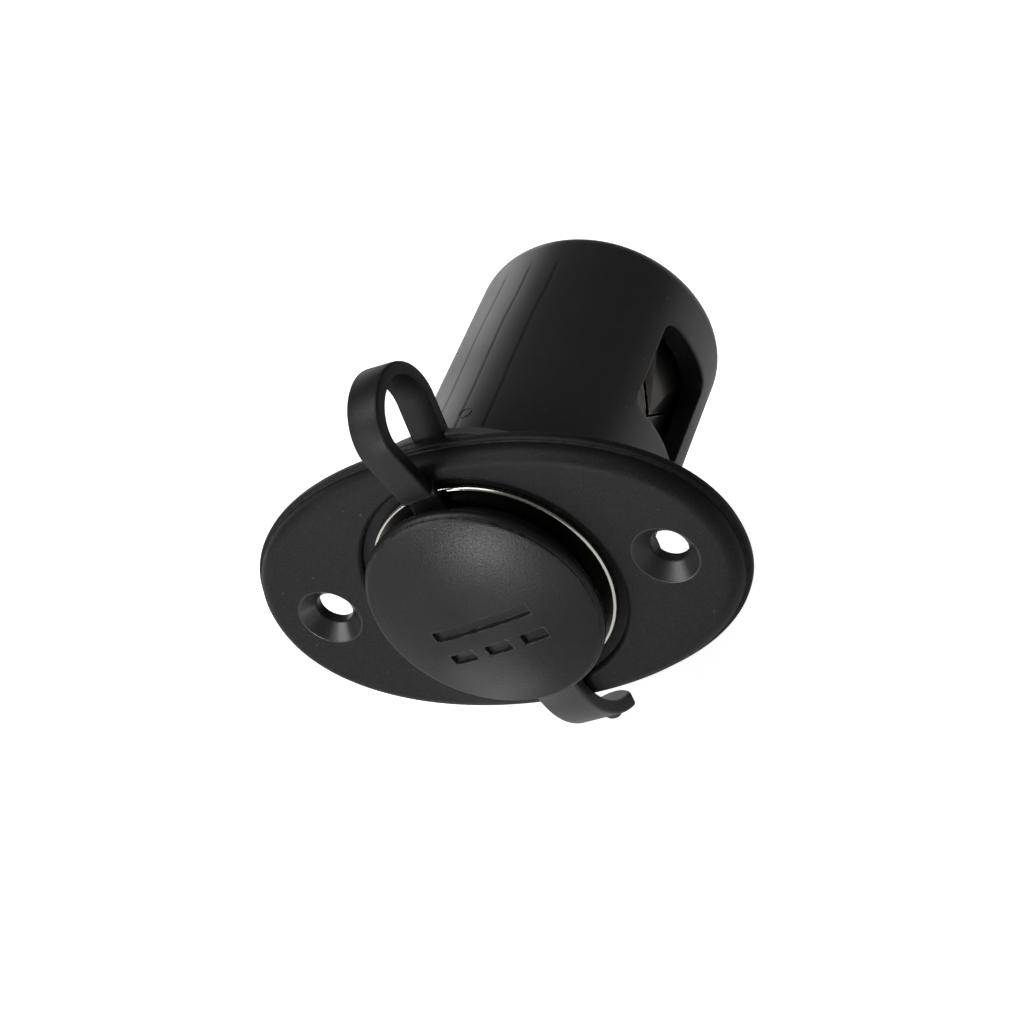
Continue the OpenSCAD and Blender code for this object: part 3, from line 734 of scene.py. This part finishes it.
# Dust cap: soft black rubber, moulded with its strap and tether ring. A low dome with a narrow
# beaded rim, a neck under it and a hollow plug that grips the bore. A current sign is sunk in its face.
low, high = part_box("dust_cap")
CAP_R = 13.5
CAP_TURN = math.radians(8)
CROWN_H = 1.6
RIM_OUT = -low.y / MM - CROWN_H
CROWN_POWER = 2.4
CROWN_EDGE_R = 12.95
BAND_H = 1.5
NECK_R = 11.7
NECK_OUT = 3.1
PLUG_R = 10.3
PLUG_END = -2.2
PLUG_WALL = 1.6
SIGN_MID = (-0.2, -2.4)
SIGN_W = 12.6
SIGN_BAR = 1.25
SIGN_SPACE = 3.6
SIGN_DASH = 3.0
SIGN_DEPTH = 0.5
DRAFT = 0.1
GRID_BORDER = 1.2
GRID_STEP = 0.35
CROWN_RINGS = 16


def rubber(name, dark, light, rough_min, rough_max, gloss):
    """Matte rubber: very fine grain, slow clouds from the mould's release agent, specks and worn edges."""
    material, tree = new_material(name)
    place = node(tree, "ShaderNodeTexCoord").outputs["Object"]
    grain = place_group(tree, grain_group, place, grain_per_metre=3600.0)
    specks = place_group(tree, speck_group, place, specks_per_metre=500.0, size=0.09)
    edges = place_group(tree, edge_group, place, radius=0.0003)
    colour = mix_colour(tree, grain.outputs["Mottle"], dark, light)
    colour = mix_colour(tree, edges.outputs[0], colour, (0.055, 0.055, 0.057, 1))
    colour = mix_colour(tree, specks.outputs[0], colour, (0.12, 0.12, 0.12, 1))
    rough = map_value(tree, grain.outputs["Mottle"], 0.3, 0.7, rough_min, rough_max)
    surface_shader(tree, grain.outputs["Height"], 0.00003,
                   {"Base Color": colour, "Roughness": rough, "Specular IOR Level": gloss})
    return material


cap_rubber = rubber("matte_cap_rubber", (0.006, 0.006, 0.0065, 1), (0.011, 0.011, 0.0115, 1),
                    0.26, 0.36, 0.18)
# The strap's rubber is a slightly darker copy of the cap's rubber: painted shade for the strap's shaded
# faces.
strap_rubber = rubber("matte_strap_rubber_painted_shade", (0.005, 0.005, 0.0055, 1), (0.010, 0.010, 0.0105, 1),
                      0.40, 0.52, 0.2)
# The pull tab's rubber is a lighter copy of the cap's rubber: painted light for the light falling on the
# tab's underside.
tab_rubber = rubber("tab_rubber_painted_light", (0.018, 0.018, 0.019, 1), (0.032, 0.032, 0.033, 1),
                    0.34, 0.46, 0.35)
# The tether ring's rubber is a much lighter copy of the cap's rubber: painted light for the lit band along
# the ring's edge.
ring_rubber = rubber("ring_rubber_painted_light", (0.05, 0.05, 0.052, 1), (0.09, 0.09, 0.092, 1), 0.45, 0.6, 0.18)


def dome_out(x, up):
    """Height of the cap's crown over a point of its face."""
    return RIM_OUT + CROWN_H * (1 - (math.hypot(x, up) / CAP_R) ** CROWN_POWER)


def lines_between(stops, step):
    """Grid lines through the stops, with none further apart than a step."""
    lines = [stops[0]]
    for a, b in zip(stops, stops[1:]):
        count = max(1, math.ceil((b - a) / step))
        lines += [a + (b - a) * (i + 1) / count for i in range(count)]
    return lines


def sign_bars():
    """The direct current sign: a bar over three dashes, as [left, right, low, high]."""
    mid_x, mid_up = SIGN_MID
    bars = [(mid_x - SIGN_W / 2, mid_x + SIGN_W / 2, mid_up + SIGN_SPACE / 2 - SIGN_BAR / 2,
             mid_up + SIGN_SPACE / 2 + SIGN_BAR / 2)]
    for k in (-1, 0, 1):
        dash_x = mid_x + k * (SIGN_W - SIGN_DASH) / 2
        bars.append((dash_x - SIGN_DASH / 2, dash_x + SIGN_DASH / 2, mid_up - SIGN_SPACE / 2 - SIGN_BAR / 2,
                     mid_up - SIGN_SPACE / 2 + SIGN_BAR / 2))
    return bars


def sunk(value, start, stop):
    """0 outside a bar's span, 1 inside it, with a soft flank at both ends."""
    share = min((value - start + DRAFT) / (2 * DRAFT), (stop + DRAFT - value) / (2 * DRAFT))
    share = min(1.0, max(0.0, share))
    return share * share * (3 - 2 * share)


def make_cap():
    """The crown as a grid that the sign is sunk in, then the rim, neck and plug turned round it."""
    bm = bmesh.new()
    bars = sign_bars()
    flank = [-DRAFT, -DRAFT / 3, DRAFT / 3, DRAFT]
    xs = sorted({round(x + f, 4) for bar in bars for x in bar[:2] for f in flank})
    ups = sorted({round(u + f, 4) for bar in bars for u in bar[2:] for f in flank})
    xs = lines_between([xs[0] - GRID_BORDER] + xs + [xs[-1] + GRID_BORDER], GRID_STEP)
    ups = lines_between([ups[0] - GRID_BORDER] + ups + [GRID_BORDER - ups[0]], GRID_STEP)

    def place(x, up, out):
        """A vertex of the cap, which sits a little turned on its axis."""
        c, s = math.cos(CAP_TURN), math.sin(CAP_TURN)
        return bm.verts.new(row(x * c - up * s, x * s + up * c, out))

    grid = []
    for up in ups:
        line = []
        for x in xs:
            depth = max(sunk(x, a, b) * sunk(up, c, d) for a, b, c, d in bars)
            line.append(place(x, up, dome_out(x, up) - SIGN_DEPTH * depth))
        grid.append(line)
    for j in range(len(ups) - 1):
        for i in range(len(xs) - 1):
            bm.faces.new((grid[j][i], grid[j][i + 1], grid[j + 1][i + 1], grid[j + 1][i]))
    n, m = len(xs) - 1, len(ups) - 1
    frame_points = [(i, 0) for i in range(n)] + [(n, j) for j in range(m)]
    frame_points += [(i, m) for i in range(n, 0, -1)] + [(0, j) for j in range(m, 0, -1)]
    previous = [grid[j][i] for i, j in frame_points]
    first = math.atan2(ups[0], xs[0])
    angles = [first + 2 * math.pi * k / len(frame_points) for k in range(len(frame_points))]
    for k in range(1, CROWN_RINGS + 1):
        share = k / CROWN_RINGS
        ring = []
        for (i, j), a in zip(frame_points, angles):
            x = xs[i] * (1 - share) + CROWN_EDGE_R * math.cos(a) * share
            up = ups[j] * (1 - share) + CROWN_EDGE_R * math.sin(a) * share
            ring.append(place(x, up, dome_out(x, up)))
        bridge(bm, previous, ring)
        previous = ring
    # Beaded rim, neck and hollow plug, turned through the same angles
    band_r = BAND_H / 2
    edge_out = dome_out(CROWN_EDGE_R, 0)
    section = [(CROWN_EDGE_R, edge_out), (CROWN_EDGE_R + 0.06, edge_out - 0.03),
               (CROWN_EDGE_R + 0.1, edge_out - 0.12)]
    section += arc(CAP_R - band_r, RIM_OUT - band_r, band_r, 68, -90, 14)
    section += [(NECK_R + 0.3, RIM_OUT - BAND_H), (NECK_R, RIM_OUT - BAND_H - 0.25),
                (NECK_R, NECK_OUT + 0.25), (NECK_R - 0.25, NECK_OUT),
                (PLUG_R + 0.2, NECK_OUT), (PLUG_R, NECK_OUT - 0.2)]
    section += [(PLUG_R, PLUG_END + 0.8), (PLUG_R - 0.15, PLUG_END + 0.4), (PLUG_R - 0.5, PLUG_END + 0.1),
                (PLUG_R - 0.8, PLUG_END), (PLUG_R - PLUG_WALL + 0.2, PLUG_END),
                (PLUG_R - PLUG_WALL, PLUG_END + 0.2), (PLUG_R - PLUG_WALL, RIM_OUT - BAND_H - 0.6),
                (PLUG_R - PLUG_WALL - 0.6, RIM_OUT - BAND_H), (0.01, RIM_OUT - BAND_H)]
    turned(bm, section, angles=[a + CAP_TURN for a in angles])
    return close_mesh(bm, "rubber_cap", [cap_rubber], 50.0)


# The pull tab leaves the rim flat, curls back past the plate's edge and ends in a half circle
PULL_W = 5.6
PULL_T = 1.6
PULL_OUT = 3.3
PULL_START = 10.1
PULL_BEND_AT = 14.6
PULL_BEND_R = 8.0
PULL_BEND = 80
PULL_DROP = 0.5
PULL_END_R = 3.1
PULL_AWAY = math.radians(-84)
RIDGE_BACK = 4.2
RIDGE_ACROSS = 1.3
RIDGE_R = 0.4
RIDGE_HALF_W = 0.9
RIDGE_CUTS = range(-4, 5)
PULL_CUTS = 44


def pull_place(along, across, proud):
    """Where a point of the flat tab goes when the tab is bent: along it, across it and off its middle."""
    straight = PULL_BEND_AT - PULL_START
    bend_l = (PULL_BEND_R + PULL_T / 2) * math.radians(PULL_BEND)
    turned_by = min(max((along - straight) / bend_l, 0), 1) * math.radians(PULL_BEND)
    r = PULL_START + min(along, straight) + (PULL_BEND_R + PULL_T / 2 + proud) * math.sin(turned_by)
    out = PULL_OUT - PULL_BEND_R + (PULL_BEND_R + PULL_T / 2 + proud) * math.cos(turned_by)
    beyond = max(along - straight - bend_l, 0)
    r += beyond * math.cos(turned_by)
    out -= beyond * math.sin(turned_by)
    c, s = math.cos(PULL_AWAY), math.sin(PULL_AWAY)
    return row(r * c - across * s, r * s + across * c, out)


def make_pull_tab():
    """Cuts the flat tab into short lengths, raises its grip bump and bends it."""
    length = PULL_BEND_AT - PULL_START + (PULL_BEND_R + PULL_T / 2) * math.radians(PULL_BEND) + PULL_DROP
    mid = length - PULL_END_R
    open_angle = math.degrees(math.acos(PULL_W / 2 / PULL_END_R))
    outline = [(0, -PULL_W / 2)] + arc(mid, 0, PULL_END_R, open_angle - 90, 90 - open_angle, 24)
    outline.append((0, PULL_W / 2))
    bm = bmesh.new()
    lower, upper = [[bm.verts.new((along, across, h)) for along, across in outline]
                    for h in (-PULL_T / 2, PULL_T / 2)]
    bridge(bm, lower, upper)
    rims = [edge for face in (bm.faces.new(lower), bm.faces.new(upper)) for edge in face.edges]
    bmesh.ops.recalc_face_normals(bm, faces=bm.faces)
    bmesh.ops.bevel(bm, geom=rims, offset=0.3, segments=3, affect="EDGES", profile=0.5)
    ridge_at = length - RIDGE_BACK
    cuts = [((length * k / PULL_CUTS, 0, 0), (1, 0, 0)) for k in range(1, PULL_CUTS)]
    cuts += [((ridge_at + RIDGE_R * k / 4, 0, 0), (1, 0, 0)) for k in RIDGE_CUTS]
    cuts += [((0, RIDGE_ACROSS + RIDGE_HALF_W * k / 4, 0), (0, 1, 0)) for k in RIDGE_CUTS]
    for at, normal in cuts:
        bmesh.ops.bisect_plane(bm, geom=bm.verts[:] + bm.edges[:] + bm.faces[:], plane_co=at, plane_no=normal)
    for vertex in bm.verts:
        along, across, proud = vertex.co
        near = 1 - ((along - ridge_at) / RIDGE_R) ** 2 - ((across - RIDGE_ACROSS) / RIDGE_HALF_W) ** 2
        if proud > 0.4 * PULL_T and near > 0:
            proud += RIDGE_R * math.sqrt(near)
        vertex.co = pull_place(along, across, proud)
    return close_mesh(bm, "pull_tab", [tab_rubber], 50.0)


cap = make_cap()
pull = make_pull_tab()
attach(cap, "cap")
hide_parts("dust_cap")
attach(pull, "cap")

# Tether: the strap leaves a thin root under the cap's rim and loops over the plate's edge to a flat
# ring on the barrel. All of it is the cap's rubber. The strap bends as the cap swings; here it is
# baked in place and attached to neither body.
low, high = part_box("tether_ring")
TETHER_R = high.x / MM
TETHER_IN_R = BARREL_R + 0.05
TETHER_FRONT = -low.y / MM
TETHER_BACK = -high.y / MM
STRAP_W = 4.0
STRAP_T = 1.65
STRAP_RISE = math.radians(18)
STRAP_TWIST = math.radians(8.9)
STRAP_FROM = (-1.3, 14.75, 4.25)
STRAP_ROOT = 11.5
ROOT_END = 15.0
ROOT_OUT = 3.6
ROOT_T = 0.8
LOOP_R = 4.72
LOOP_MID = (23.5, 1.85)
STRAP_TO = (0.0, 17.6, -1.45)


def make_strip_tree():
    """A moulded strip: a rounded rectangular section swept along a path."""
    tree = bpy.data.node_groups.new("moulded_strip", "GeometryNodeTree")
    tree.interface.new_socket("Path", in_out="INPUT", socket_type="NodeSocketGeometry")
    for name, value in (("Width", 0.004), ("Thickness", 0.0014), ("Corner radius", 0.0004)):
        tree.interface.new_socket(name, in_out="INPUT", socket_type="NodeSocketFloat").default_value = value
    for name in ("Side at start", "Side at end"):
        tree.interface.new_socket(name, in_out="INPUT", socket_type="NodeSocketVector")
    tree.interface.new_socket("Finish", in_out="INPUT", socket_type="NodeSocketMaterial")
    tree.interface.new_socket("Strip", in_out="OUTPUT", socket_type="NodeSocketGeometry")
    given = node(tree, "NodeGroupInput")
    line = node(tree, "GeometryNodeMeshToCurve", {"Mesh": given.outputs["Path"]})
    along = node(tree, "GeometryNodeSplineParameter")
    side = node(tree, "ShaderNodeMix", {0: along.outputs["Factor"], 4: given.outputs["Side at start"],
                                        5: given.outputs["Side at end"]}, data_type="VECTOR")
    aimed = node(tree, "GeometryNodeSetCurveNormal", {"Curve": line.outputs[0], "Normal": side.outputs[1]},
                 mode="FREE")
    outline = node(tree, "GeometryNodeCurvePrimitiveQuadrilateral",
                   {"Width": given.outputs["Width"], "Height": given.outputs["Thickness"]})
    rounded = node(tree, "GeometryNodeFilletCurve",
                   {"Curve": outline.outputs[0], "Radius": given.outputs["Corner radius"], "Count": 3},
                   mode="POLY")
    swept = node(tree, "GeometryNodeCurveToMesh",
                 {"Curve": aimed.outputs[0], "Profile Curve": rounded.outputs[0], "Fill Caps": True})
    smooth = node(tree, "GeometryNodeSetShadeSmooth", {"Geometry": swept.outputs[0]})
    real = node(tree, "GeometryNodeRealizeInstances", {"Geometry": smooth.outputs[0]})
    coated = node(tree, "GeometryNodeSetMaterial",
                  {"Geometry": real.outputs[0], "Material": given.outputs["Finish"]})
    node(tree, "NodeGroupOutput", {"Strip": coated.outputs[0]})
    return tree


strip_tree = make_strip_tree()


def make_strip(name, points, width, thickness, corner, sides, material):
    """Sweeps the strip along points in millimetres and gives it as a plain mesh."""
    line = bpy.data.meshes.new(name + "_path")
    line.from_pydata([row(*p) for p in points], [(i, i + 1) for i in range(len(points) - 1)], [])
    carrier = bpy.data.objects.new(name + "_path", line)
    bpy.context.scene.collection.objects.link(carrier)
    modifier = carrier.modifiers.new("strip", "NODES")
    modifier.node_group = strip_tree
    values = {"Width": width * MM, "Thickness": thickness * MM, "Corner radius": corner * MM,
              "Side at start": sides[0], "Side at end": sides[1], "Finish": material}
    for item in strip_tree.interface.items_tree:
        if item.in_out == "INPUT" and item.name in values:
            modifier[item.identifier] = values[item.name]
    shape = bpy.data.meshes.new_from_object(carrier.evaluated_get(bpy.context.evaluated_depsgraph_get()))
    bpy.data.objects.remove(carrier)
    bm = bmesh.new()
    bm.from_mesh(shape)
    return close_mesh(bm, name, [material], 50.0)


def strap_route():
    """Straight out from the cap, round the loop, and straight back to the ring."""
    leave = math.pi / 2 + STRAP_RISE
    back = Vector((STRAP_TO[1] - LOOP_MID[0], STRAP_TO[2] - LOOP_MID[1]))
    arrive = math.atan2(back.y, back.x) + math.acos(LOOP_R / back.length)
    line = [(STRAP_FROM[1], STRAP_FROM[2])]
    first = (LOOP_MID[0] + LOOP_R * math.cos(leave), LOOP_MID[1] + LOOP_R * math.sin(leave))
    line += [(line[0][0] + (first[0] - line[0][0]) * k / 6, line[0][1] + (first[1] - line[0][1]) * k / 6)
             for k in range(1, 6)]
    line += arc(LOOP_MID[0], LOOP_MID[1], LOOP_R, math.degrees(leave), math.degrees(arrive), 40)
    last = line[-1]
    line += [(last[0] + (STRAP_TO[1] - last[0]) * k / 4, last[1] + (STRAP_TO[2] - last[1]) * k / 4)
             for k in range(1, 5)]
    count = len(line) - 1
    return [(STRAP_FROM[0] * (1 - i / count) + STRAP_TO[0] * i / count, up, out)
            for i, (up, out) in enumerate(line)]


def make_tether_ring():
    """A flat ring with softened edges."""
    bm = bmesh.new()
    soft = 0.25
    section = arc(TETHER_R - soft, TETHER_FRONT - soft, soft, 90, 0, 4)
    section += arc(TETHER_R - soft, TETHER_BACK + soft, soft, 0, -90, 4)
    section += arc(TETHER_IN_R + soft, TETHER_BACK + soft, soft, -90, -180, 4)
    section += arc(TETHER_IN_R + soft, TETHER_FRONT - soft, soft, 180, 90, 4)
    section.append(section[0])
    turned(bm, section)
    return close_mesh(bm, "tether_ring_rubber", [ring_rubber])


twisted = (math.cos(STRAP_TWIST), 0, math.sin(STRAP_TWIST))
strap = make_strip("tether_strap_rubber", strap_route(), STRAP_W, STRAP_T, 0.3, (twisted, (1, 0, 0)),
                   strap_rubber)
root_line = [(STRAP_FROM[0], STRAP_ROOT + (ROOT_END - STRAP_ROOT) * k / 4, ROOT_OUT) for k in range(5)]
root = make_strip("strap_root_rubber", root_line, STRAP_W - 0.1, ROOT_T, 0.2, (twisted, twisted),
                  strap_rubber)
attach(root, "cap")
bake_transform(strap)
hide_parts("tether_strap")
ring = make_tether_ring()
weigh_normals(ring)
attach(ring, "housing")
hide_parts("tether_ring")
